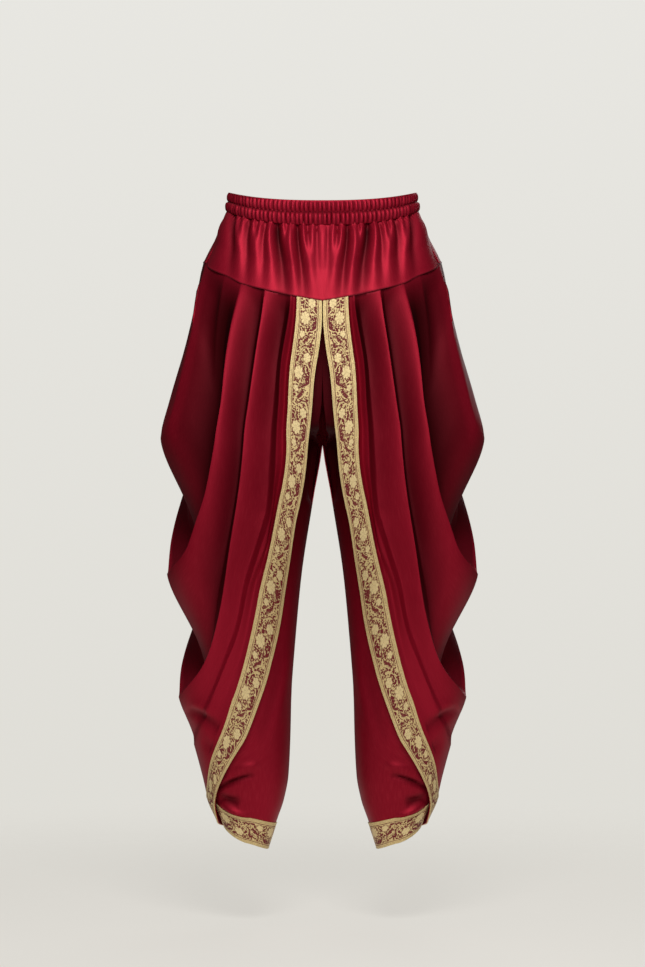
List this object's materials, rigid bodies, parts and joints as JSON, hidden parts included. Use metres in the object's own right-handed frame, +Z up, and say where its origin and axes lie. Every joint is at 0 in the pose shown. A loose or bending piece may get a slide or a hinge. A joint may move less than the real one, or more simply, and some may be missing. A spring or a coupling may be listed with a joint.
{
  "type": "draped dhoti trousers",
  "caption": "Draped dhoti trousers in dark red satin with a ribbed elastic waist, gathered yoke, pleated cowl legs and woven gold borders, filled out as if worn.",
  "frame": {"origin": "middle of the waist opening, level with the top of the waistband at the front", "axes": "+Z up, -Y to the front of the garment, +X to the wearer's left"},
  "size_m": [0.4856, 0.2695, 0.9825],
  "materials": {
    "satin": "deep red satin with a soft sheen",
    "gold_brocade": "woven pale gold flower and scroll pattern on dark red, dull metallic thread"
  },
  "bodies": {
    "root": {"waistband": "satin", "yoke_front": "satin", "yoke_back": "satin", "drape_left": "satin", "drape_right": "satin", "under_left": "satin", "under_right": "satin", "border_left": "gold_brocade", "border_right": "gold_brocade", "hem_border_left": "gold_brocade", "hem_border_right": "gold_brocade"}
  },
  "joints": []
}
